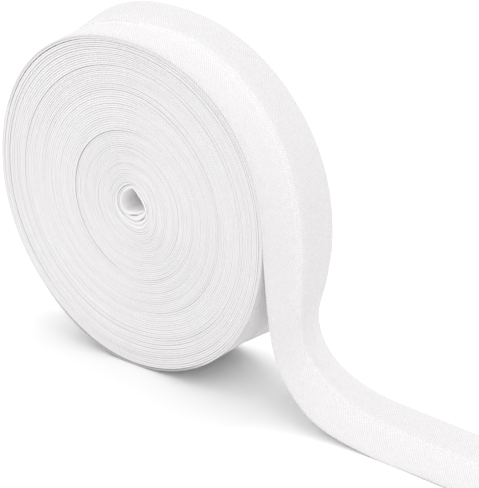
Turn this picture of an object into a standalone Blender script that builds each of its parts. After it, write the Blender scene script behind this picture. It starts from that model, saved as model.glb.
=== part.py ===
"""A roll of single-fold bias tape that stands on its rim, with the loose end run out beside it.

Metres, +Z up. The roll's axis runs along Y. The origin is the middle of the flat spot that the roll
stands on. The loose end leaves the right side of the roll and runs out along the surface to +X.
Sizes below are in millimetres and degrees; angles go from +X towards +Z, seen from the front (-Y).
"""

import math

import bmesh
import bpy
from mathutils import Vector

MM = 0.001

# The tape: a strip with both raw edges folded in, which leave a narrow gap between them along the
# middle of its outer face
TAPE_WIDTH = 25.0
TAPE_THICKNESS = 1.0
FOLD_ROUNDING = 0.35
RAW_EDGE_GAP = 2.4
RAW_EDGE_SLOPE = 0.2
FLAP_THICKNESS = 0.4
PIECE_GAP = 0.3

# The wound roll
AXIS_HEIGHT = 42.1
STATION_STEP = 4.0
VALLEY_DEPTH = 0.65
FOOT_PRESSED_WITHIN = 9.0
FOOT_PRESSED_UP_TO = 26.0

# The place where the outermost turn leaves the roll, and the stretch over which the turn below it,
# which is loose there, swells back out to the full outline
STEP_ANGLE = 10.5
SWELL_START = -8.0
SWELL_END = -40.0
SUNK_EDGE_SHARE = 0.1

# Radius of the hole, of the three wide gaps between groups of turns, and of both rims, every eighth
# of a turn: right, upper right, top, upper left, left, lower left, bottom, lower right
RINGS = {
    "hole": (5.0, 4.1, 4.7, 4.1, 3.7, 3.6, 4.2, 5.0),
    "inner gap": (19.7, 19.6, 19.2, 18.1, 17.1, 17.0, 18.3, 19.5),
    "middle gap": (27.8, 28.0, 29.0, 28.3, 27.0, 25.8, 26.5, 28.0),
    "outer gap": (34.0, 34.5, 35.0, 34.5, 33.5, 32.5, 33.5, 34.8),
    "front rim": (41.2, 42.5, 42.2, 43.6, 41.6, 40.6, 42.5, 42.8),
    "back rim": (42.6, 41.4, 42.8, 47.2, 42.4, 40.9, 42.5, 43.4),
}

# How far the side faces lie in from the tape's edge: at the mouth of the hole, then for each gap
# its own depth and the inset of the group of turns inside it
MOUTH_WIDTH = 0.8
MOUTH_INSET = 0.6
GAP_HALF_WIDTH = 0.35
GAPS = [
    # ring, depth of the gap, inset of the turns inside it
    ("inner gap", 0.9, 0.35),
    ("middle gap", 0.6, 0.10),
    ("outer gap", 0.75, 0.25),
]
LOOSE_GAPS = [
    # distance in from the rim, depth of the gap, inset of the turns inside it
    (3.4, 0.5, 0.05),
    (2.2, 0.5, 0.15),
]

# The loose end: points along the middle of its outer face, and how far the strip leans about its
# own run there. The first and last rows only set the direction at its two ends.
LOOSE_END = [
    # x, y, z, lean
    (38.2, 0.0, 59.1, 1.6),
    (41.2, 0.0, 49.4, 2.4),
    (42.2, 0.3, 37.3, 2.5),
    (42.5, -0.1, 25.8, -4.1),
    (42.8, -0.2, 15.3, -13.4),
    (48.5, -1.0, 8.0, -12.0),
    (59.6, -1.8, 2.8, -4.0),
    (75.8, -2.2, 1.1, 0.2),
    (92.0, -2.9, 1.0, -0.3),
    (112.0, -4.4, 1.0, 0.0),
    (132.0, -6.0, 1.0, 0.0),
]
STEPS_BETWEEN_POINTS = 5
VALLEY_FADES_OVER = 40.0

CLOTH_WHITE = (0.86, 0.85, 0.84, 1.0)
CLOTH_ROUGHNESS = 0.9


def smoothstep(start, end, value):
    """0 before start, 1 after end, and a soft rise between them."""
    share = min(max((value - start) / (end - start), 0.0), 1.0)
    return share * share * (3.0 - 2.0 * share)


def through_four(a, b, c, d, share):
    """Catmull-Rom curve from b to c."""
    return 0.5 * (
        2.0 * b
        + (c - a) * share
        + (2.0 * a - 5.0 * b + 4.0 * c - d) * share ** 2
        + (3.0 * b - 3.0 * c + d - a) * share ** 3
    )


def ring_radius(ring, angle):
    """Radius of a ring at any angle, on a smooth closed curve through its eight radii."""
    radii = RINGS[ring]
    place = (angle % 360.0) / 360.0 * len(radii)
    first = int(place)
    four = [radii[(first + offset) % len(radii)] for offset in (-1, 0, 1, 2)]
    return through_four(*four, place - first)


def sink(angle):
    """How far the outer face lies below the full outline, where the outermost turn has left it."""
    if angle > STEP_ANGLE - 0.001 or angle < SWELL_END:
        return 0.0
    return (TAPE_THICKNESS + PIECE_GAP) * (1.0 - smoothstep(-SWELL_START, -SWELL_END, -angle))


def pressed(angle):
    """1 where the roll's weight presses the outer turn flat on the surface, 0 away from it."""
    from_bottom = abs((angle % 360.0) - 270.0)
    return 1.0 - smoothstep(FOOT_PRESSED_WITHIN, FOOT_PRESSED_UP_TO, from_bottom)


def above_floor(radius, angle):
    """The radius, cut short where it would reach below the surface that the roll stands on."""
    downward = -math.sin(math.radians(angle))
    if downward <= 0.5:
        return radius
    return min(radius, AXIS_HEIGHT / downward)


def side_outline(angle, rim_ring, sunk):
    """Points (radius, inset) of one side face, from the hole out to the rim."""
    hole = ring_radius("hole", angle)
    rim = ring_radius(rim_ring, angle)
    first_inset = GAPS[0][2]
    outline = [(hole, MOUTH_INSET), (hole + MOUTH_WIDTH, first_inset)]
    gaps = [(ring_radius(ring, angle), depth, inset) for ring, depth, inset in GAPS]
    gaps += [(rim - distance, depth, inset) for distance, depth, inset in LOOSE_GAPS]
    insets_outside = [inset for _, _, inset in gaps[1:]] + [0.0]
    for (radius, depth, inset), outside in zip(gaps, insets_outside):
        outline.append((radius - GAP_HALF_WIDTH, inset))
        outline.append((radius, depth))
        outline.append((radius + GAP_HALF_WIDTH, outside))
    edge_inset = sunk * SUNK_EDGE_SHARE
    outer = rim - sunk
    outline.append((above_floor(outer, angle) - FOLD_ROUNDING, edge_inset))
    outline.append((above_floor(outer, angle), edge_inset + FOLD_ROUNDING))
    return outline


def roll_section(angle, sunk):
    """The roll's section at one angle, as points (radius, y), round from hole to hole."""
    half = TAPE_WIDTH / 2.0
    front = [(radius, inset - half) for radius, inset in side_outline(angle, "front rim", sunk)]
    back = [(radius, half - inset) for radius, inset in side_outline(angle, "back rim", sunk)]
    open_share = 1.0 - pressed(angle)
    mean_rim = (ring_radius("front rim", angle) + ring_radius("back rim", angle)) / 2.0 - sunk
    valley = mean_rim - VALLEY_DEPTH * open_share
    between_flaps = valley - FLAP_THICKNESS * open_share
    flap_edge = RAW_EDGE_GAP / 2.0
    flap_foot = flap_edge - RAW_EDGE_SLOPE
    middle = [
        (above_floor(valley, angle), -flap_edge),
        (above_floor(between_flaps, angle), -flap_foot),
        (above_floor(between_flaps, angle), flap_foot),
        (above_floor(valley, angle), flap_edge),
    ]
    return front + middle + back[::-1]


def on_roll(radius, y, angle):
    turn = math.radians(angle)
    return Vector((radius * math.cos(turn), y, AXIS_HEIGHT + radius * math.sin(turn))) * MM


def link_object(name, mesh_data):
    """Turns a finished bmesh into a named, smooth-shaded object with its own cloth material."""
    bmesh.ops.recalc_face_normals(mesh_data, faces=mesh_data.faces)
    mesh = bpy.data.meshes.new(name)
    mesh_data.to_mesh(mesh)
    mesh_data.free()
    mesh.shade_smooth()
    mesh.set_sharp_from_angle(angle=math.radians(35.0))
    mesh.materials.append(cloth_material(name + "_cloth"))
    piece = bpy.data.objects.new(name, mesh)
    bpy.context.collection.objects.link(piece)
    return piece


def cloth_material(name):
    material = bpy.data.materials.new(name)
    material.use_nodes = True
    shader = material.node_tree.nodes["Principled BSDF"]
    shader.inputs["Base Color"].default_value = CLOTH_WHITE
    shader.inputs["Roughness"].default_value = CLOTH_ROUGHNESS
    shader.inputs["Metallic"].default_value = 0.0
    return material


def bridge_sections(mesh_data, first, second):
    """Quads between two closed sections that have the same number of points."""
    count = len(first)
    for index in range(count):
        after = (index + 1) % count
        mesh_data.faces.new((first[index], first[after], second[after], second[index]))


def make_roll():
    """The wound turns: one section carried once round the axis, down from the step and back up to it.

    The last section stands at the same angle as the first one, and is a tape's thickness higher at
    the rim. The two share their points but for the rim's, between which the step's face lies.
    """
    mesh_data = bmesh.new()
    first_even = STATION_STEP * math.floor(STEP_ANGLE / STATION_STEP) - STATION_STEP / 2.0
    angles = [STEP_ANGLE]
    angle = first_even
    while angle > STEP_ANGLE - 360.0 + STATION_STEP / 2.0:
        angles.append(angle)
        angle -= STATION_STEP
    full_sunk = TAPE_THICKNESS + PIECE_GAP
    sections = []
    for angle in angles:
        sunk = full_sunk if angle == STEP_ANGLE else sink(angle)
        section = roll_section(angle, sunk)
        sections.append([mesh_data.verts.new(on_roll(radius, y, angle)) for radius, y in section])
    high_points = roll_section(STEP_ANGLE, 0.0)
    low = sections[0]
    side_points = len(side_outline(STEP_ANGLE, "front rim", 0.0))
    first_high = side_points - 2
    last_high = len(low) - side_points + 1
    high = list(low)
    for index in range(first_high, last_high + 1):
        radius, y = high_points[index]
        high[index] = mesh_data.verts.new(on_roll(radius, y, STEP_ANGLE))
    for section, following in zip(sections, sections[1:]):
        bridge_sections(mesh_data, section, following)
    bridge_sections(mesh_data, sections[-1], high)
    mesh_data.faces.new((low[first_high - 1], high[first_high], low[first_high]))
    for index in range(first_high, last_high):
        mesh_data.faces.new((low[index], high[index], high[index + 1], low[index + 1]))
    mesh_data.faces.new((low[last_high], high[last_high], low[last_high + 1]))
    return link_object("roll", mesh_data)


def loose_end_stations():
    """Places along the loose end: middle of the outer face, direction, and lean."""
    rows = [(Vector(row[:3]), row[3]) for row in LOOSE_END]
    stations = []
    for index in range(1, len(rows) - 2):
        four = rows[index - 1:index + 3]
        for step in range(STEPS_BETWEEN_POINTS):
            share = step / STEPS_BETWEEN_POINTS
            point = through_four(*[row[0] for row in four], share)
            lean = through_four(*[row[1] for row in four], share)
            stations.append((point, lean))
    stations.append(rows[-2])
    return stations


def tape_section(valley):
    """The folded tape's section: (across, below the outer face), with the V of the valley."""
    half = TAPE_WIDTH / 2.0
    round_in = half - FOLD_ROUNDING
    flap_edge = RAW_EDGE_GAP / 2.0
    flap_foot = flap_edge - RAW_EDGE_SLOPE
    return [
        (-round_in, 0.0),
        (-flap_edge, valley),
        (-flap_foot, valley + FLAP_THICKNESS),
        (flap_foot, valley + FLAP_THICKNESS),
        (flap_edge, valley),
        (round_in, 0.0),
        (half, FOLD_ROUNDING),
        (half, TAPE_THICKNESS - FOLD_ROUNDING),
        (round_in, TAPE_THICKNESS),
        (0.0, TAPE_THICKNESS + valley),
        (-round_in, TAPE_THICKNESS),
        (-half, TAPE_THICKNESS - FOLD_ROUNDING),
        (-half, FOLD_ROUNDING),
    ]


def make_loose_end():
    """The free end: the folded tape's section carried along its run, closed at both cut ends."""
    stations = loose_end_stations()
    mesh_data = bmesh.new()
    sections = []
    run = 0.0
    for index, (point, lean) in enumerate(stations):
        before = stations[max(index - 1, 0)][0]
        after = stations[min(index + 1, len(stations) - 1)][0]
        direction = (after - before).normalized()
        run += (point - before).length
        level = Vector((0.0, 1.0, 0.0))
        level = (level - direction * level.dot(direction)).normalized()
        turned = direction.cross(level)
        turn = math.radians(lean)
        across = level * math.cos(turn) + turned * math.sin(turn)
        inward = across.cross(direction)
        valley = VALLEY_DEPTH * (1.0 - smoothstep(0.0, VALLEY_FADES_OVER, run))
        section = []
        for sideways, below in tape_section(valley):
            corner = point + across * sideways + inward * below
            corner.z = max(corner.z, 0.0)
            section.append(mesh_data.verts.new(corner * MM))
        sections.append(section)
    for section, following in zip(sections, sections[1:]):
        bridge_sections(mesh_data, section, following)
    mesh_data.faces.new(sections[0])
    mesh_data.faces.new(sections[-1])
    return link_object("loose_end", mesh_data)


for leftover in list(bpy.data.objects):
    bpy.data.objects.remove(leftover)

make_roll()
make_loose_end()
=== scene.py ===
"""A roll of white single-fold bias tape that stands on its rim, with its loose end run out.

Sizes are in millimetres and degrees unless a name says otherwise, and MM turns them into metres.
Angles round the roll go from +X towards +Z, as seen from the front.
"""

import math
from bisect import bisect_right

import bmesh
import bpy
from mathutils import Matrix, Vector


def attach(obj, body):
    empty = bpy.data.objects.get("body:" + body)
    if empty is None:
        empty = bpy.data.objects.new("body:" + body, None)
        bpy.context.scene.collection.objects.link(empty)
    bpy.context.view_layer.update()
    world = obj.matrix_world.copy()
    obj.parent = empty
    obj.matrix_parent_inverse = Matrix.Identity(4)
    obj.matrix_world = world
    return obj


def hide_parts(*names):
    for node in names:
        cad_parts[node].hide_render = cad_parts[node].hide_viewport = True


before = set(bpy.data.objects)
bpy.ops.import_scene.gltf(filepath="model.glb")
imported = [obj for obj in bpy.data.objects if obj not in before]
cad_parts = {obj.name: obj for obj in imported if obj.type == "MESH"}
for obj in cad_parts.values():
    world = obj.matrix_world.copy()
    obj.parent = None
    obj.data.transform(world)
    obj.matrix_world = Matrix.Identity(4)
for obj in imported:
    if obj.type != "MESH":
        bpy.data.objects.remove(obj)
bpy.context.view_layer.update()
bpy.ops.object.select_all(action="DESELECT")

# The wound turns
# A strip of plain cotton cut on the bias, folded with both raw edges in, pressed and wound by machine
# without a core. The turns have drifted out of round in store, and a few gaps show where the pull on
# the tape changed. These are all turns but the outer ones, so only their folds show, row on row.
MM = 0.001
TAPE_WIDTH = 25.0
AXIS_HEIGHT = 42.1
LEAVING_ANGLE = 10.5
START_ANGLE = -3.0
TURNS = 75.0 + (START_ANGLE - LEAVING_ANGLE) / 360.0
TAPE_THICKNESS = 0.50
BETWEEN_TURNS = 0.006
FOLD_ROUNDING = 0.10
VALLEY_DEPTH = 0.65
VALLEY_STARTS_AT = 30.0
VALLEY_FULL_AT = 41.0
RING_RADII = {
    # right, upper right, top, upper left, left, lower left, bottom, lower right
    "first ring": (5.6, 5.3, 5.4, 4.1, 3.6, 3.35, 3.8, 5.0),
    "loose ring": (6.2, 6.3, 6.2, 5.0, 4.9, 5.0, 5.8, 7.2),
    "inner gap": (19.7, 19.6, 19.2, 18.1, 17.1, 17.0, 18.3, 19.5),
    "middle gap": (27.8, 28.0, 29.0, 28.3, 27.0, 25.8, 26.5, 28.0),
    "outer gap": (34.0, 34.5, 35.0, 34.5, 33.5, 32.5, 33.5, 34.8),
    "front rim": (41.2, 42.5, 42.2, 43.6, 41.6, 40.6, 42.5, 42.8),
    "back rim": (42.6, 41.4, 42.8, 47.2, 42.4, 40.9, 42.5, 43.4),
}
START_OF_STRIP = [
    # turns from the strip's cut start, radius of the inner face
    (0.000, 4.30),
    (0.044, 2.95),
    (0.117, 1.85),
    (0.178, 1.43),
    (0.269, 1.62),
    (0.356, 2.07),
    (0.439, 2.42),
    (0.517, 2.69),
    (0.594, 3.01),
    (0.664, 3.46),
    (0.731, 4.07),
    (0.778, 4.95),
    (0.792, 4.61),
    (0.844, 4.21),
    (0.914, 4.27),
    (0.958, 4.60),
    (1.000, 4.95),
    (1.031, 4.80),
    (1.067, 4.42),
    (1.108, 4.10),
    (1.153, 3.85),
    (1.203, 3.35),
    (1.269, 2.86),
    (1.347, 2.72),
    (1.419, 2.90),
    (1.492, 3.18),
    (1.561, 3.42),
    (1.631, 3.80),
    (1.697, 4.35),
    (1.753, 5.05),
    (1.778, 5.45),
    (1.800, 5.12),
    (1.844, 4.74),
    (1.914, 4.78),
    (1.958, 5.10),
    (2.000, 5.40),
    (2.060, 5.55),
    (2.100, 5.25),
    (2.150, 4.85),
    (2.203, 4.15),
    (2.269, 3.50),
    (2.347, 3.28),
    (2.419, 3.45),
    (2.492, 3.68),
]
START_SHIFTS = (-0.012, 0.0, 0.012)
START_PUFF = [
    # turns from the strip's cut start, how much thicker it stands there than pressed tape
    (0.00, 0.00),
    (0.08, 0.40),
    (0.25, 0.50),
    (0.30, 0.55),
    (0.37, 0.15),
    (0.50, 0.05),
    (1.00, 0.40),
    (1.07, 0.95),
    (1.11, 0.85),
    (1.15, 1.00),
    (1.20, 0.72),
    (1.27, 0.25),
    (1.35, 0.05),
    (2.00, 0.05),
    (2.03, 0.15),
    (2.06, 0.35),
    (2.10, 0.42),
    (2.15, 0.42),
    (2.20, 0.25),
    (2.30, 0.60),
    (3.00, 1.50),
    (8.00, 0.60),
    (12.0, 0.02),
]
LINE_ROUND_HOLE = 0.11
WIDE_GAPS = [
    # mean radius, width, angle where it is widest
    (6.1, 0.05, -60.0),
    (8.2, 0.03, 80.0),
    (11.0, 0.03, -60.0),
    (14.6, 0.03, -70.0),
    (18.55, 0.07, 60.0),
    (19.6, 0.02, -80.0),
    (24.6, 0.02, 60.0),
    (27.55, 0.05, 60.0),
    (28.6, 0.02, -60.0),
    (31.4, 0.02, 110.0),
    (34.04, 0.07, 120.0),
    (35.4, 0.03, 0.0),
    (36.4, 0.04, 75.0),
    (37.5, 0.03, 10.0),
    (38.4, 0.05, 60.0),
    (39.3, 0.03, -10.0),
    (40.1, 0.06, 60.0),
    (41.0, 0.03, 180.0),
]
GAP_OPENS_OVER = 0.5
UNEVEN_WINDING = [
    # millimetres in and out, how fast it comes round again from turn to turn, its start
    (0.012, 2.39, 0.0),
    (0.008, 4.10, 1.0),
]
SIDEWAYS_WANDER = [
    # millimetres to the front and back, how fast it comes round again, its start
    (0.030, 2.1, 0.0),
    (0.026, 3.7, 2.0),
    (0.020, 5.3, 4.0),
]
FOOT_PRESSED_WITHIN = 9.0
FOOT_PRESSED_UP_TO = 26.0
GROUP_INSETS = [
    # mean radius, how far the turns' folds lie in from the tape's edge
    (4.0, 0.50),
    (6.5, 0.30),
    (12.0, 0.22),
    (18.4, 0.16),
    (18.9, 0.04),
    (27.3, 0.06),
    (27.8, 0.15),
    (33.9, 0.10),
    (34.3, 0.02),
    (42.5, 0.02),
]
THREAD_PITCH = 0.50
THREAD_HEIGHT = 0.12
FOLD_COLOUR = (0.890, 0.877, 0.884, 1.0)
FOLD_GAP_COLOUR = (0.745, 0.731, 0.738, 1.0)
# Painted shade: the folds darken into the grooves between turns, deepest beside the wide gaps.
GROOVE_PAINTED_SHADE = 0.95
WIDE_GAP_PAINTED_SHADE = 0.17
WIDEST_GAP = 0.07
# Painted light: the first turns' inner face, the hole's wall, is painted lighter where little light
# reaches.
HOLE_WALL_PAINTED_LIGHT = 1.09
# Painted light: the folds low on the roll are painted lighter, against the shade near the surface.
LOW_FOLDS_PAINTED_LIGHT = 0.050
SLOPE_SHARE = 0.3
GROOVE_SHADE_LINES = [
    # how fast it comes round again from turn to turn, its start, how much darker the painted shade makes
    # the groove
    (5.1, 0.0, 0.09),
    (8.3, 1.0, 0.09),
    (15.2, 2.0, 0.08),
    (21.7, 0.5, 0.08),
]


def maths(nodes, operation, first, second=None):
    """A Math node fed by sockets or plain numbers."""
    node = nodes.new("ShaderNodeMath")
    node.operation = operation
    for place, value in enumerate((first, second)):
        if value is None:
            continue
        if isinstance(value, (int, float)):
            node.inputs[place].default_value = value
        else:
            nodes.id_data.links.new(value, node.inputs[place])
    return node.outputs[0]


def bias_cotton(name, cloth, gaps, strength, slub_contrast):
    """Matt plain weave at 45 degrees to the strip, from the piece's own UV map in metres."""
    material = bpy.data.materials.new(name)
    material.use_nodes = True
    nodes = material.node_tree.nodes
    links = material.node_tree.links
    shader = nodes["Principled BSDF"]

    place = nodes.new("ShaderNodeTexCoord")
    on_threads = nodes.new("ShaderNodeMapping")
    on_threads.inputs["Rotation"].default_value = (0.0, 0.0, math.radians(45.0))
    threads_per_metre = 1.0 / (THREAD_PITCH * MM)
    on_threads.inputs["Scale"].default_value = (threads_per_metre, threads_per_metre, 1.0)
    links.new(place.outputs["UV"], on_threads.inputs["Vector"])
    apart = nodes.new("ShaderNodeSeparateXYZ")
    links.new(on_threads.outputs["Vector"], apart.inputs["Vector"])

    warp_wave = maths(nodes, "SINE", maths(nodes, "MULTIPLY", apart.outputs["X"], math.pi))
    weft_wave = maths(nodes, "SINE", maths(nodes, "MULTIPLY", apart.outputs["Y"], math.pi))
    warp_on_top = maths(nodes, "GREATER_THAN", maths(nodes, "MULTIPLY", warp_wave, weft_wave), 0.0)
    warp_part = maths(nodes, "MULTIPLY", maths(nodes, "ABSOLUTE", warp_wave), warp_on_top)
    weft_on_top = maths(nodes, "SUBTRACT", 1.0, warp_on_top)
    weft_part = maths(nodes, "MULTIPLY", maths(nodes, "ABSOLUTE", weft_wave), weft_on_top)
    weave = maths(nodes, "ADD", warp_part, weft_part)

    fullness = []
    for across, along in (("X", "Y"), ("Y", "X")):
        thread = maths(nodes, "FLOOR", apart.outputs[across])
        on_one_thread = nodes.new("ShaderNodeCombineXYZ")
        links.new(maths(nodes, "MULTIPLY", thread, 7.31), on_one_thread.inputs["X"])
        links.new(maths(nodes, "MULTIPLY", apart.outputs[along], 0.16), on_one_thread.inputs["Y"])
        slubs = nodes.new("ShaderNodeTexNoise")
        slubs.inputs["Scale"].default_value = 1.0
        slubs.inputs["Detail"].default_value = 2.0
        links.new(on_one_thread.outputs["Vector"], slubs.inputs["Vector"])
        fullness.append(slubs.outputs["Fac"])
    warp_full = maths(nodes, "MULTIPLY", fullness[0], warp_on_top)
    weft_full = maths(nodes, "MULTIPLY", fullness[1], weft_on_top)
    thread_fullness = maths(nodes, "ADD", warp_full, weft_full)
    uneven = maths(nodes, "MULTIPLY", maths(nodes, "SUBTRACT", thread_fullness, 0.5), slub_contrast)
    height = maths(nodes, "MULTIPLY", weave, maths(nodes, "ADD", uneven, 1.0))

    tone = nodes.new("ShaderNodeMix")
    tone.data_type = "RGBA"
    tone.inputs["A"].default_value = gaps
    tone.inputs["B"].default_value = cloth
    links.new(maths(nodes, "MINIMUM", height, 1.0), tone.inputs["Factor"])
    # The piece's tone attribute carries painted light and shade and scales the weave's colour.
    cloth_tone_and_painted_shading = nodes.new("ShaderNodeAttribute")
    cloth_tone_and_painted_shading.attribute_name = "cloth_tone_and_painted_shading"
    toned = nodes.new("ShaderNodeVectorMath")
    toned.operation = "SCALE"
    links.new(tone.outputs["Result"], toned.inputs[0])
    links.new(cloth_tone_and_painted_shading.outputs["Fac"], toned.inputs["Scale"])
    links.new(toned.outputs["Vector"], shader.inputs["Base Color"])

    bump = nodes.new("ShaderNodeBump")
    bump.inputs["Strength"].default_value = strength
    bump.inputs["Distance"].default_value = THREAD_HEIGHT * MM
    links.new(height, bump.inputs["Height"])
    links.new(bump.outputs["Normal"], shader.inputs["Normal"])

    shader.inputs["Roughness"].default_value = 0.9
    shader.inputs["Specular IOR Level"].default_value = 0.2
    shader.inputs["Sheen Weight"].default_value = 0.1
    shader.inputs["Sheen Roughness"].default_value = 0.5
    return material


def smoothstep(start, end, value):
    """0 before start, 1 after end, and a soft rise between them."""
    share = min(max((value - start) / (end - start), 0.0), 1.0)
    return share * share * (3.0 - 2.0 * share)


def through_four(a, b, c, d, share):
    """Catmull-Rom curve from b to c."""
    return 0.5 * (
        2.0 * b
        + (c - a) * share
        + (2.0 * a - 5.0 * b + 4.0 * c - d) * share ** 2
        + (3.0 * b - 3.0 * c + d - a) * share ** 3
    )


def along_rows(rows, place):
    """Straight-line reading of a table of (place, value) rows."""
    if place <= rows[0][0]:
        return rows[0][1]
    for (start, low), (end, high) in zip(rows, rows[1:]):
        if place <= end:
            return low + (high - low) * (place - start) / (end - start)
    return rows[-1][1]


def waves(rows, place):
    """Sum of the sine waves in a table of (height, speed, start) rows."""
    return sum(height * math.sin(speed * place + start) for height, speed, start in rows)


def ring_radius(ring, angle):
    """Radius of a ring at any angle, on a smooth closed curve through its eight radii."""
    radii = RING_RADII[ring]
    place = (angle % 360.0) / 360.0 * len(radii)
    first = int(place)
    four = [radii[(first + offset) % len(radii)] for offset in (-1, 0, 1, 2)]
    return through_four(*four, place - first)


RING_LEVELS = [
    sum(RING_RADII[ring]) / 8.0
    for ring in ("first ring", "loose ring", "inner gap", "middle gap", "outer gap", "front rim")
]
FIRST_FREE_TURN = 2.4


def radius_at(level, angle, rim):
    """The real, out-of-round radius at an angle, for a turn whose mean radius is level."""
    rings = ["first ring", "loose ring", "inner gap", "middle gap", "outer gap", rim]
    band = 0
    while band < 4 and level > RING_LEVELS[band + 1]:
        band += 1
    share = (level - RING_LEVELS[band]) / (RING_LEVELS[band + 1] - RING_LEVELS[band])
    inner = ring_radius(rings[band], angle)
    outer = ring_radius(rings[band + 1], angle)
    return inner + (outer - inner) * share


def turn_angle(turn):
    """Angle round the roll, for a number of turns out from the start of the strip."""
    return LEAVING_ANGLE + 360.0 * (TURNS - turn)


first_level = RING_LEVELS[0] + TAPE_THICKNESS
rim_level = RING_LEVELS[-1]
gap_total = sum(width for _, width, _ in WIDE_GAPS)
turn_pitch = (rim_level - first_level - gap_total) / (TURNS - 2.0)

gap_turns = []
passed = 0.0
for gap_radius, gap_width, widest_angle in WIDE_GAPS:
    gap_turn = 2.0 + (gap_radius - first_level - passed) / turn_pitch
    plateau_angle = turn_angle(gap_turn + 0.75)
    gap_turn += ((plateau_angle - widest_angle + 180.0) % 360.0 - 180.0) / 360.0
    gap_turns.append((gap_turn, gap_width))
    passed += gap_width


def turn_level(turn):
    """Mean radius of a turn's outer face: even winding, a slight unevenness, and the wide gaps."""
    level = first_level + turn_pitch * (turn - 2.0)
    for gap_turn, gap_width in gap_turns:
        level += gap_width * smoothstep(gap_turn, gap_turn + GAP_OPENS_OVER, turn)
    return min(level + waves(UNEVEN_WINDING, turn), rim_level)


def turn_drift(turn):
    """How far the tape has wandered sideways at a turn, most at the rim and near the hole."""
    loose = 1.0 + smoothstep(TURNS - 12.0, TURNS - 2.0, turn) + 1.2 * smoothstep(8.0, 1.0, turn)
    return loose * waves(SIDEWAYS_WANDER, turn)


def pressed(angle):
    """1 where the roll's weight presses the turns flat on the surface, 0 away from it."""
    from_bottom = abs((angle % 360.0) - 270.0)
    return 1.0 - smoothstep(FOOT_PRESSED_WITHIN, FOOT_PRESSED_UP_TO, from_bottom)


def outer_face(turn, rim):
    """Radius of the tape's outer face at a turn, at the front or back edge."""
    if turn < START_OF_STRIP[-1][0]:
        near = [along_rows(START_OF_STRIP, turn + shift) for shift in START_SHIFTS]
        puffed = along_rows(START_PUFF, turn) if turn < 1.0 else 0.0
        start = sum(near) / 3.0 + TAPE_THICKNESS + puffed - 0.05 * smoothstep(0.45, 0.6, turn)
        if turn < FIRST_FREE_TURN:
            return start
    angle = turn_angle(turn)
    radius = radius_at(turn_level(turn), angle, rim)
    if turn < START_OF_STRIP[-1][0]:
        settled = smoothstep(FIRST_FREE_TURN, START_OF_STRIP[-1][0], turn)
        radius = start + (radius - start) * settled
    downward = -math.sin(math.radians(angle))
    if downward <= 0.5:
        return radius
    foot = AXIS_HEIGHT / downward - turn_pitch * math.floor(TURNS - turn)
    return min(radius, foot)


def inner_face(turn, rim):
    """Radius of the tape's inner face: one thickness in, or on the turn beneath where it is tight."""
    level = turn_level(turn)
    angle = turn_angle(turn)
    spread = (radius_at(level, angle, rim) - radius_at(level - turn_pitch, angle, rim)) / turn_pitch
    thickness = TAPE_THICKNESS * max(spread, 1.0) if turn > 3.0 else TAPE_THICKNESS
    own = outer_face(turn, rim) - thickness - along_rows(START_PUFF, turn)
    if turn < 1.0:
        return own
    gap = BETWEEN_TURNS + LINE_ROUND_HOLE * smoothstep(2.2, 2.35, turn) * smoothstep(2.85, 2.7, turn)
    return max(own, outer_face(turn - 1.0, rim) + gap)


def on_roll(radius, y, angle):
    """Point in metres for a radius, a place along the axis and an angle round the roll."""
    turned = math.radians(angle)
    return Vector((radius * math.cos(turned), y, AXIS_HEIGHT + radius * math.sin(turned))) * MM


def fold_nose(inner, outer, edge, inwards):
    """Rounded nose of a folded edge: points (radius, y) from the inner face to the outer face."""
    return [
        (inner, edge + inwards * FOLD_ROUNDING * 1.6),
        (inner + FOLD_ROUNDING * 0.7, edge + inwards * FOLD_ROUNDING * 0.3),
        ((inner + outer) / 2.0, edge),
        (outer - FOLD_ROUNDING * 0.7, edge + inwards * FOLD_ROUNDING * 0.3),
        (outer, edge + inwards * FOLD_ROUNDING * 1.6),
    ]


def turn_section(turn):
    """One inner turn's section, all the way round, with the shallow valley at its middle."""
    level = turn_level(turn)
    inset = along_rows(GROUP_INSETS, level)
    drift = turn_drift(turn)
    valley = VALLEY_DEPTH * smoothstep(VALLEY_STARTS_AT, VALLEY_FULL_AT, level)
    valley *= 1.0 - pressed(turn_angle(turn))
    front_outer = outer_face(turn, "front rim")
    front_inner = inner_face(turn, "front rim")
    back_outer = outer_face(turn, "back rim")
    back_inner = inner_face(turn, "back rim")
    near = fold_nose(front_inner, front_outer, drift + inset - TAPE_WIDTH / 2.0, 1.0)
    far = fold_nose(back_inner, back_outer, drift - inset + TAPE_WIDTH / 2.0, -1.0)
    middle_outer = ((front_outer + back_outer) / 2.0 - valley, 0.0)
    middle_inner = ((front_inner + back_inner) / 2.0 - valley, 0.0)
    return near + [middle_outer] + far[::-1] + [middle_inner]


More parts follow.
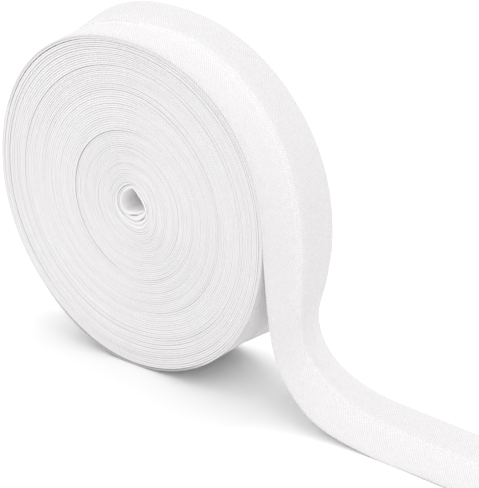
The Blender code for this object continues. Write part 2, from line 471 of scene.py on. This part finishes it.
def strip_mesh(name, sections, lengths, widths, tones):
    """A closed strip through a row of sections, with its UV map in metres and its cloth's tone, which
    carries painted light and shade.
    """
    mesh = bpy.data.meshes.new(name)
    count = len(sections[0])
    corners = [corner for section in sections for corner in section]
    faces = []
    for row in range(len(sections) - 1):
        here = row * count
        for index in range(count):
            after = (index + 1) % count
            faces.append((here + index, here + count + index, here + count + after, here + after))
    faces.append(tuple(range(count)))
    faces.append(tuple(range(len(corners) - 1, len(corners) - 1 - count, -1)))
    mesh.from_pydata(corners, [], faces)
    weave = mesh.uv_layers.new(name="along_and_across")
    closing = widths[-1] + (widths[-1] - widths[-2])
    for face in mesh.polygons:
        on_face = {vertex % count for vertex in face.vertices}
        wraps = len(face.vertices) == 4 and 0 in on_face and count - 1 in on_face
        for loop in face.loop_indices:
            row, index = divmod(mesh.loops[loop].vertex_index, count)
            across = closing if wraps and index == 0 else widths[index]
            weave.data[loop].uv = (lengths[row] * MM, across * MM)
    cloth_tone_and_painted_shading = mesh.attributes.new("cloth_tone_and_painted_shading", "FLOAT", "POINT")
    for place, value in enumerate(tone for row in tones for tone in row):
        cloth_tone_and_painted_shading.data[place].value = value
    piece = bpy.data.objects.new(name, mesh)
    bpy.context.collection.objects.link(piece)
    outward = bmesh.new()
    outward.from_mesh(mesh)
    bmesh.ops.recalc_face_normals(outward, faces=outward.faces)
    outward.to_mesh(mesh)
    outward.free()
    return piece


def painted_groove_shade(turn):
    """Painted shade in the groove under a turn: some are painted darker than others, most of all at the
    wide gaps.
    """
    groove = GROOVE_PAINTED_SHADE
    for speed, start, depth in GROOVE_SHADE_LINES:
        groove -= depth * max(0.0, math.sin(speed * turn + start)) ** 3
    for gap_turn, gap_width in gap_turns:
        beside = smoothstep(gap_turn + 0.15, gap_turn + 0.25, turn)
        beside *= smoothstep(gap_turn + 1.35, gap_turn + 1.25, turn)
        groove -= WIDE_GAP_PAINTED_SHADE * beside * min(gap_width / WIDEST_GAP, 1.0)
    return groove


def turn_painted_shading(turn):
    """Tone round a turn's section: painted shade darkens the folds into their grooves, painted light makes
    the low folds and the hole's wall lighter.
    """
    low = max(-math.sin(math.radians(turn_angle(turn))), 0.0) * turn_level(turn) / rim_level
    fold = 1.0 + LOW_FOLDS_PAINTED_LIGHT * low
    under = HOLE_WALL_PAINTED_LIGHT if turn < 1.0 else painted_groove_shade(turn) * fold
    over = painted_groove_shade(turn + 1.0) * fold
    under_slope = fold + (under - fold) * SLOPE_SHARE
    over_slope = fold + (over - fold) * SLOPE_SHARE
    nose = [under, under_slope, fold, over_slope, over]
    return nose + [1.0] + nose[::-1] + [under if turn < 1.0 else 1.0]


def distances_round(section):
    """Distance along a section's outline to each of its points."""
    distances = [0.0]
    for before, after in zip(section, section[1:]):
        distances.append(distances[-1] + math.dist(before, after))
    return distances


fold_cotton = bias_cotton("folded_bias_cotton", FOLD_COLOUR, FOLD_GAP_COLOUR, 0.4, 1.0)

OUTER_TURNS = 1.4
turn = 0.0
wound_sections = []
wound_lengths = []
wound_tones = []
length_so_far = 0.0
while True:
    section = turn_section(turn)
    wound_sections.append([on_roll(radius, y, turn_angle(turn)) for radius, y in section])
    wound_lengths.append(length_so_far)
    wound_tones.append(turn_painted_shading(turn))
    if turn >= TURNS - OUTER_TURNS - 1e-9:
        break
    steps = 144 if turn < 2.5 else 72 if turn < 30.0 else 96
    step = min(1.0 / steps, TURNS - OUTER_TURNS - turn)
    length_so_far += step * 2.0 * math.pi * turn_level(turn)
    turn += step

wound_turns = strip_mesh(
    "wound_turns",
    wound_sections,
    wound_lengths,
    distances_round(turn_section(20.0)),
    wound_tones,
)
wound_turns.data.shade_smooth()
wound_turns.data.materials.append(fold_cotton)
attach(wound_turns, "root")
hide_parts("roll")

# The outer turns and the loose end
# The same strip, shown in full: the base layer, and the two flaps pressed over it, whose raw edges
# leave a narrow gap along the middle. The end drops off the right side of the roll with a slight
# lean, bends where it meets the surface and runs out flat to a plain cut.
LAYER_THICKNESS = 0.25
LOOSE_LAYER_THICKNESS = 0.29
LOOSENS_OVER = 60.0
RAW_EDGE_GAP = 2.4
RAW_EDGE_LIFT = 0.07
RAW_EDGE_FEATHER = 0.45
RAW_EDGE_WAVES = [
    # millimetres in and out, how fast it comes round again, how far the two edges are out of step
    (0.09, 0.9, 1.0),
    (0.06, 2.3, 2.0),
    (0.05, 3.9, 3.0),
]
# Painted light: the outer face is lighter along the gap between the flaps and its raw edges.
FACE_TONES_AND_PAINTED_LIGHT = [
    # across the outer face from its middle, tone: painted light over the gap and along its raw edges, and
    # the back flap a shade darker than the front one
    (-12.4, 1.000),
    (-6.0, 1.000),
    (-2.5, 1.015),
    (-1.2, 1.040),
    (-0.8, 1.050),
    (0.8, 1.040),
    (1.2, 0.990),
    (2.5, 0.970),
    (6.0, 0.960),
    (12.4, 0.960),
]
END_TONES = [
    # the same on the loose end, painted light over the gap included, whose two flaps look alike
    (-12.4, 1.000),
    (-2.5, 1.010),
    (-1.2, 1.040),
    (0.8, 1.045),
    (1.2, 1.005),
    (2.5, 0.985),
    (12.4, 0.985),
]
END_TONES_FROM = 10.0
END_TONES_BY = 45.0
# The brightest painted light allowed, and how far from the middle the underside's painted light fades off
# the folds.
BRIGHTEST_PAINTED_LIGHT = 1.19
FOLD_TONE_FROM = 11.0
UNDERSIDE_PAINTED_SHADE_AND_LIGHT = [
    # angle round the roll, tone: painted shade at the foot, painted light where light falls through the
    # loose end
    (-135.0, 1.00),
    (-115.0, 0.62),
    (-66.0, 0.62),
    (-48.0, 1.20),
    (-12.0, 1.20),
    (8.0, 1.00),
]
GAP_DEPTH = 0.05
FACE_COLOUR = (0.822, 0.809, 0.816, 1.0)
FACE_GAP_COLOUR = (0.645, 0.632, 0.639, 1.0)
FLAP_CROWN = 0.08
OUTER_STEPS_PER_TURN = 360
LOOSE_END = [
    # x, y, z, lean: the middle of the outer face, along the tape's route
    (38.2, 0.0, 59.1, 1.6),
    (41.2, 0.0, 49.4, 2.4),
    (42.2, 0.3, 37.3, 2.5),
    (42.5, -0.1, 25.8, -4.1),
    (42.8, -0.2, 15.3, -13.4),
    (48.5, -1.0, 8.0, -12.0),
    (59.6, -1.8, 2.8, -4.0),
    (75.8, -2.2, 1.1, 0.2),
    (92.0, -2.9, 1.0, -0.3),
    (112.0, -4.4, 1.0, 0.0),
    (132.0, -6.0, 1.0, 0.0),
]
LOOSE_STEPS = 20
SETTLES_BY = 0.38
SETTLES_FROM = 10.0
SETTLES_UP_TO = 75.0
VALLEY_FADES_OVER = 45.0
SEAM_DRIFT = [
    # millimetres after the tape leaves the roll, how far the gap lies back from the middle
    (-75.0, -1.3),
    (-64.0, -1.0),
    (-50.0, 0.5),
    (-35.0, 0.7),
    (-10.0, 0.5),
    (15.0, 0.8),
    (35.0, 1.2),
    (55.0, 1.0),
    (80.0, 0.3),
    (110.0, 0.0),
]


def folded_section(valley, layer, near_edge, far_edge):
    """The folded strip's outline: (across, below the outer face) over both flaps and their gap."""
    half = TAPE_WIDTH / 2.0
    thick = 2.0 * layer
    rounding = FOLD_ROUNDING

    def face(across):
        """How far the outer face lies down in the valley, with each flap slightly crowned."""
        out = abs(across) / half
        return valley * (1.0 - out) - FLAP_CROWN * math.sin(math.pi * out) * (1.0 - out)

    near_fold = -half + rounding * 1.6
    far_fold = half - rounding * 1.6
    outline = [(-half + rounding * 0.3, rounding * 0.7), (near_fold, 0.0)]
    outline += [(across, face(across)) for across in (-half * 0.72, -half * 0.4, near_edge - 0.7)]
    outline += [(near_edge - 0.12, face(near_edge) - RAW_EDGE_LIFT)]
    outline += [(near_edge + RAW_EDGE_FEATHER, face(near_edge) + GAP_DEPTH)]
    outline += [(near_edge - 0.1, face(near_edge) + layer), (near_fold + 0.5, layer)]
    outline += [(near_fold + 0.5, layer + 0.01), (near_edge, face(near_edge) + layer + 0.01)]
    outline += [(near_edge + RAW_EDGE_FEATHER, face(near_edge) + GAP_DEPTH + 0.001)]
    outline += [(far_edge - RAW_EDGE_FEATHER, face(far_edge) + GAP_DEPTH + 0.001)]
    outline += [(far_edge, face(far_edge) + layer + 0.01), (far_fold - 0.5, layer + 0.01)]
    outline += [(far_fold - 0.5, layer), (far_edge + 0.1, face(far_edge) + layer)]
    outline += [(far_edge - RAW_EDGE_FEATHER, face(far_edge) + GAP_DEPTH)]
    outline += [(far_edge + 0.12, face(far_edge) - RAW_EDGE_LIFT)]
    outline += [(across, face(across)) for across in (far_edge + 0.7, half * 0.4, half * 0.72)]
    outline += [(far_fold, 0.0), (half - rounding * 0.3, rounding * 0.7), (half, thick / 2.0)]
    outline += [(half - rounding * 0.3, thick - rounding * 0.7), (far_fold, thick)]
    outline += [(across, face(across) + thick) for across in (half / 2.0, 0.0, -half / 2.0)]
    outline += [(near_fold, thick), (-half + rounding * 0.3, thick - rounding * 0.7), (-half, thick / 2.0)]
    return outline


def raw_edge_waver(place, side):
    """Small unevenness of a raw edge."""
    return waves([(size, speed, times * side) for size, speed, times in RAW_EDGE_WAVES], place)


stations = []
turn = TURNS - OUTER_TURNS
while turn < TURNS - 1e-6:
    angle = turn_angle(turn)
    drift = turn_drift(turn)
    front = on_roll(outer_face(turn, "front rim"), drift - TAPE_WIDTH / 2.0, angle)
    back = on_roll(outer_face(turn, "back rim"), drift + TAPE_WIDTH / 2.0, angle)
    before_end = -(TURNS - turn) * 2.0 * math.pi * rim_level
    stations.append(((front + back) / 2.0, (back - front).normalized(), before_end))
    turn += 1.0 / OUTER_STEPS_PER_TURN
leaving_station = len(stations)

rows = [(Vector(row[:3]) * MM, row[3]) for row in LOOSE_END]
run = 0.0
last_point = rows[1][0]
for index in range(1, len(rows) - 2):
    four = rows[index - 1:index + 3]
    for step in range(LOOSE_STEPS):
        share = step / LOOSE_STEPS
        point = through_four(*[row[0] for row in four], share)
        ahead = through_four(*[row[0] for row in four], share + 0.01)
        lean = math.radians(through_four(*[row[1] for row in four], share))
        direction = (ahead - point).normalized()
        level_across = Vector((0.0, 1.0, 0.0))
        level_across = (level_across - direction * level_across.dot(direction)).normalized()
        across = level_across * math.cos(lean) + direction.cross(level_across) * math.sin(lean)
        run += (point - last_point).length / MM
        last_point = point
        stations.append((point, across, run))
stations.append((rows[-2][0], stations[-1][1], run + (rows[-2][0] - last_point).length / MM))
loose_length = stations[-1][2]

strip_frames = []
for index, (point, across, place) in enumerate(stations):
    before = stations[max(index - 1, 0)][0]
    after = stations[min(index + 1, len(stations) - 1)][0]
    direction = (after - before).normalized()
    inward = across.cross(direction).normalized()
    settled = SETTLES_BY * smoothstep(SETTLES_FROM, SETTLES_UP_TO, place)
    strip_frames.append((place, point + inward * settled * MM, across, inward, direction))


def valley_at(place, point):
    """Depth of the shallow valley along the tape's middle, gone at the foot and along the end."""
    angle = math.degrees(math.atan2(point.z / MM - AXIS_HEIGHT, point.x / MM))
    on_foot = pressed(angle) if place < 0.0 else 0.0
    return VALLEY_DEPTH * (1.0 - smoothstep(0.0, VALLEY_FADES_OVER, place)) * (1.0 - on_foot)


def raw_edges(place):
    """Where the raw edges of the front and the back flap lie, across from the middle."""
    middle = along_rows(SEAM_DRIFT, place)
    near = middle - RAW_EDGE_GAP / 2.0 + raw_edge_waver(place, 0.0)
    far = middle + RAW_EDGE_GAP / 2.0 + raw_edge_waver(place, 1.5)
    return near, far


cotton = bias_cotton("white_bias_cotton", FACE_COLOUR, FACE_GAP_COLOUR, 0.5, 1.7)
strip_sections = []
for place, point, across, inward, _ in strip_frames:
    near_edge, far_edge = raw_edges(place)
    loosened = smoothstep(0.0, LOOSENS_OVER, place)
    layer = LAYER_THICKNESS + (LOOSE_LAYER_THICKNESS - LAYER_THICKNESS) * loosened
    section = []
    for sideways, below in folded_section(valley_at(place, point), layer, near_edge, far_edge):
        corner = point + (across * sideways + inward * below) * MM
        corner.z = max(corner.z, 0.02 * MM)
        section.append(corner)
    strip_sections.append(section)

plain_section = folded_section(0.0, LAYER_THICKNESS, -RAW_EDGE_GAP / 2.0, RAW_EDGE_GAP / 2.0)
across_points = distances_round(plain_section)
roll_tones = [along_rows(FACE_TONES_AND_PAINTED_LIGHT, across) for across, _ in plain_section]
end_tones = [along_rows(END_TONES, across) for across, _ in plain_section]
off_fold = [1.0 - smoothstep(FOLD_TONE_FROM, TAPE_WIDTH / 2.0, abs(across)) for across, _ in plain_section]
strip_tones = []
# Painted light and shade on the outer strip: the face tones, then the underside's painted shade at the
# foot and painted light under the loose end.
for point, _, place in stations:
    angle = math.degrees(math.atan2(point.z / MM - AXIS_HEIGHT, point.x / MM))
    under = along_rows(UNDERSIDE_PAINTED_SHADE_AND_LIGHT, angle) if place < 0.0 else 1.0
    on_end = smoothstep(END_TONES_FROM, END_TONES_BY, place)
    mixed = [roll + (end - roll) * on_end for roll, end in zip(roll_tones, end_tones)]
    reach = off_fold if under > 1.0 else [1.0] * len(mixed)
    shaded = [tone * (1.0 + (under - 1.0) * share) for tone, share in zip(mixed, reach)]
    strip_tones.append([min(tone, BRIGHTEST_PAINTED_LIGHT) for tone in shaded])
strip_lengths = [wound_lengths[-1] + frame_row[0] for frame_row in strip_frames]
outer_turns = strip_mesh(
    "outer_turns",
    strip_sections[:leaving_station + 1],
    strip_lengths[:leaving_station + 1],
    across_points,
    strip_tones[:leaving_station + 1],
)
loose_end = strip_mesh(
    "loose_end_tape",
    strip_sections[leaving_station:],
    strip_lengths[leaving_station:],
    across_points,
    strip_tones[leaving_station:],
)
for piece in (outer_turns, loose_end):
    piece.data.shade_smooth()
    piece.data.set_sharp_from_angle(angle=math.radians(50.0))
    piece.data.materials.append(cotton)
    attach(piece, "root")
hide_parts("roll")
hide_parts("loose_end")

# The frayed raw edges
# Both raw edges were cut across the threads, so short ends of warp and weft stand out of them at 45
# degrees and half fill the gap over the base layer. They are soft, painted a little lighter than the
# pressed cloth as painted light against the shade in the gap, and no two are alike.
FRAY_STEP = 0.14
FRAY_WIDTH = 0.16
FRAY_HEIGHT = 0.09
FRAY_SIDES = 4
FRAY_SHORTEST = 0.35
FRAY_LONGEST = 1.70
FRAY_TURN = 45.0
FRAY_TURN_VARIES = 22.0
FRAY_LIFT = 0.03
# Painted light: the thread ends are lighter than the cloth, against the shade in the gap.
FRAY_COLOUR = (0.96, 0.95, 0.955, 1.0)
FRAY_SHADE_COLOUR = (0.88, 0.87, 0.875, 1.0)


def scatter(number):
    """A fixed, uneven value from 0 to 1 for a whole number."""
    value = math.sin(number * 12.9898 + 4.1414) * 43758.5453
    return value - math.floor(value)


frame_places = [frame_row[0] for frame_row in strip_frames]


def on_strip(place, sideways, below):
    """Point on the outer strip, and its inward direction, for a place along and across it."""
    row = min(max(bisect_right(frame_places, place) - 1, 0), len(strip_frames) - 2)
    start = strip_frames[row]
    end = strip_frames[row + 1]
    share = (place - start[0]) / (end[0] - start[0])
    point = start[1].lerp(end[1], share)
    across = start[2].lerp(end[2], share)
    inward = start[3].lerp(end[3], share)
    out = abs(sideways) / (TAPE_WIDTH / 2.0)
    depth = valley_at(place, point) * (1.0 - out) + below
    corner = point + (across * sideways + inward * depth) * MM
    corner.z = max(corner.z, 0.03 * MM)
    return corner


def frayed_ends(name, first_place, last_place):
    """Short tapering thread ends along both raw edges, as one mesh."""
    corners = []
    faces = []
    number = 0
    place = first_place
    while place < last_place:
        for edge in (0, 1):
            number += 1
            into_gap = 1.0 if edge == 0 else -1.0
            along = 1.0 if scatter(number + 0.3) < 0.5 else -1.0
            longer = (FRAY_LONGEST - FRAY_SHORTEST) * scatter(number + 0.7) ** 1.3
            length = FRAY_SHORTEST + longer
            turn_off = math.radians(FRAY_TURN + FRAY_TURN_VARIES * (scatter(number + 0.1) - 0.5))
            lift = FRAY_LIFT * scatter(number + 0.9)
            start_place = place + FRAY_STEP * (scatter(number) - 0.5)
            root = raw_edges(start_place)[edge] - into_gap * (0.1 + 0.3 * scatter(number + 0.5))
            base = len(corners)
            for ring in range(3):
                share = ring / 2.0
                reach = length * share
                here_place = start_place + along * math.cos(turn_off) * reach
                sideways = root + into_gap * math.sin(turn_off) * (reach + 0.05)
                below = share * GAP_DEPTH - 0.005 - lift * math.sin(math.pi * share * 0.8)
                slimmer = 1.0 - 0.5 * share
                for side in range(FRAY_SIDES):
                    turned = 2.0 * math.pi * side / FRAY_SIDES
                    offset_side = math.cos(turned) * FRAY_WIDTH / 2.0 * slimmer
                    offset_below = math.sin(turned) * FRAY_HEIGHT / 2.0 * slimmer
                    corners.append(
                        on_strip(
                            here_place - along * into_gap * math.sin(turn_off) * offset_side,
                            sideways + math.cos(turn_off) * offset_side,
                            below + offset_below,
                        )
                    )
            for ring in range(2):
                for side in range(FRAY_SIDES):
                    here = base + ring * FRAY_SIDES + side
                    beside = base + ring * FRAY_SIDES + (side + 1) % FRAY_SIDES
                    faces.append((here, beside, beside + FRAY_SIDES, here + FRAY_SIDES))
            faces.append(tuple(base + side for side in reversed(range(FRAY_SIDES))))
            faces.append(tuple(base + 2 * FRAY_SIDES + side for side in range(FRAY_SIDES)))
        place += FRAY_STEP
    mesh = bpy.data.meshes.new(name)
    mesh.from_pydata(corners, [], faces)
    outward = bmesh.new()
    outward.from_mesh(mesh)
    bmesh.ops.recalc_face_normals(outward, faces=outward.faces)
    outward.to_mesh(mesh)
    outward.free()
    mesh.shade_smooth()
    piece = bpy.data.objects.new(name, mesh)
    bpy.context.collection.objects.link(piece)
    return piece


thread_ends = bpy.data.materials.new("frayed_cotton_threads")
thread_ends.use_nodes = True
nodes = thread_ends.node_tree.nodes
links = thread_ends.node_tree.links
shader = nodes["Principled BSDF"]
place_in_space = nodes.new("ShaderNodeTexCoord")
fibres = nodes.new("ShaderNodeTexNoise")
fibres.inputs["Scale"].default_value = 3500.0
fibres.inputs["Detail"].default_value = 4.0
links.new(place_in_space.outputs["Object"], fibres.inputs["Vector"])
fibre_tone = nodes.new("ShaderNodeMix")
fibre_tone.data_type = "RGBA"
fibre_tone.inputs["A"].default_value = FRAY_SHADE_COLOUR
fibre_tone.inputs["B"].default_value = FRAY_COLOUR
links.new(fibres.outputs["Fac"], fibre_tone.inputs["Factor"])
links.new(fibre_tone.outputs["Result"], shader.inputs["Base Color"])
fibre_bump = nodes.new("ShaderNodeBump")
fibre_bump.inputs["Strength"].default_value = 0.4
fibre_bump.inputs["Distance"].default_value = 0.03 * MM
links.new(fibres.outputs["Fac"], fibre_bump.inputs["Height"])
links.new(fibre_bump.outputs["Normal"], shader.inputs["Normal"])
shader.inputs["Roughness"].default_value = 0.95
shader.inputs["Specular IOR Level"].default_value = 0.2

one_turn = 2.0 * math.pi * rim_level
roll_fray = frayed_ends("roll_frayed_edges", -one_turn * 1.02, 0.0)
end_fray = frayed_ends("loose_end_frayed_edges", 0.0, loose_length - 0.8)
for piece in (roll_fray, end_fray):
    piece.data.materials.append(thread_ends)
    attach(piece, "root")

# The studio
# A plain white surface that runs on without an edge in view, an even white surround that gives most
# of the light, and two large soft lamps behind and above.
FLOOR_SIZE = 6000.0
FLOOR_COLOUR = (0.98, 0.98, 0.98, 1.0)
SURROUND_STRENGTH = 1.135
LAMPS = [
    # name, x, y, z, size, watts
    ("back_softbox", 0.0, 500.0, 800.0, 500.0, 1.31),
    ("top_softbox", 0.0, 0.0, 900.0, 400.0, 0.20),
]

bpy.ops.object.select_all(action="DESELECT")
bpy.ops.mesh.primitive_plane_add(size=FLOOR_SIZE * MM, location=(0.0, 0.0, -0.02 * MM))
floor = bpy.context.object
floor.name = "floor"
floor_finish = bpy.data.materials.new("white_surface")
floor_finish.use_nodes = True
floor_shader = floor_finish.node_tree.nodes["Principled BSDF"]
floor_shader.inputs["Base Color"].default_value = FLOOR_COLOUR
floor_shader.inputs["Roughness"].default_value = 1.0
floor_shader.inputs["Specular IOR Level"].default_value = 0.0
floor.data.materials.append(floor_finish)

surround = bpy.data.worlds.new("white_surround")
bpy.context.scene.world = surround
surround.use_nodes = True
sky = surround.node_tree.nodes["Background"]
sky.inputs["Color"].default_value = (1.0, 1.0, 1.0, 1.0)
sky.inputs["Strength"].default_value = SURROUND_STRENGTH

for name, x, y, z, size, watts in LAMPS:
    bpy.ops.object.light_add(type="AREA", location=(x * MM, y * MM, z * MM))
    lamp = bpy.context.object
    lamp.name = name
    lamp.data.shape = "DISK"
    lamp.data.size = size * MM
    lamp.data.energy = watts
    towards = Vector((0.0, 0.0, 30.0)) * MM - lamp.location
    lamp.rotation_euler = towards.to_track_quat("-Z", "Y").to_euler()
bpy.context.scene.view_settings.view_transform = "Standard"

# The camera
# It stands to the right of the roll's front, a little above it, with a long lens.
CAMERA_DISTANCE = 650.0
CAMERA_AZIMUTH = 40.226
CAMERA_ELEVATION = 22.643
CAMERA_PAN = 1.671
CAMERA_TILT = 1.160
CAMERA_ROLL = 0.283
IMAGE_LONG_SIDE_PX = 488.0
FOCAL_LENGTH_PX = 2664.25
SENSOR_WIDTH = 36.0

azimuth = math.radians(CAMERA_AZIMUTH)
elevation = math.radians(CAMERA_ELEVATION)
backward = Vector((
    math.sin(azimuth) * math.cos(elevation),
    -math.cos(azimuth) * math.cos(elevation),
    math.sin(elevation),
))
rightward = Vector((math.cos(azimuth), math.sin(azimuth), 0.0))
upward = backward.cross(rightward)
level_frame = Matrix((rightward, upward, backward))
pan = Matrix.Rotation(math.radians(CAMERA_PAN), 3, "Y")
tilt = Matrix.Rotation(math.radians(CAMERA_TILT), 3, "X")
roll = Matrix.Rotation(math.radians(CAMERA_ROLL), 3, "Z")
camera_turn = (roll @ tilt @ pan @ level_frame).transposed()
bpy.ops.object.camera_add()
camera = bpy.context.object
camera.name = "camera"
camera.data.sensor_width = SENSOR_WIDTH
camera.data.lens = FOCAL_LENGTH_PX * SENSOR_WIDTH / IMAGE_LONG_SIDE_PX
camera.data.clip_start = 0.01
camera.data.clip_end = 20.0
place = (Vector((0.0, 0.0, AXIS_HEIGHT)) + backward * CAMERA_DISTANCE) * MM
camera.matrix_world = Matrix.Translation(place) @ camera_turn.to_4x4()
bpy.context.scene.camera = camera
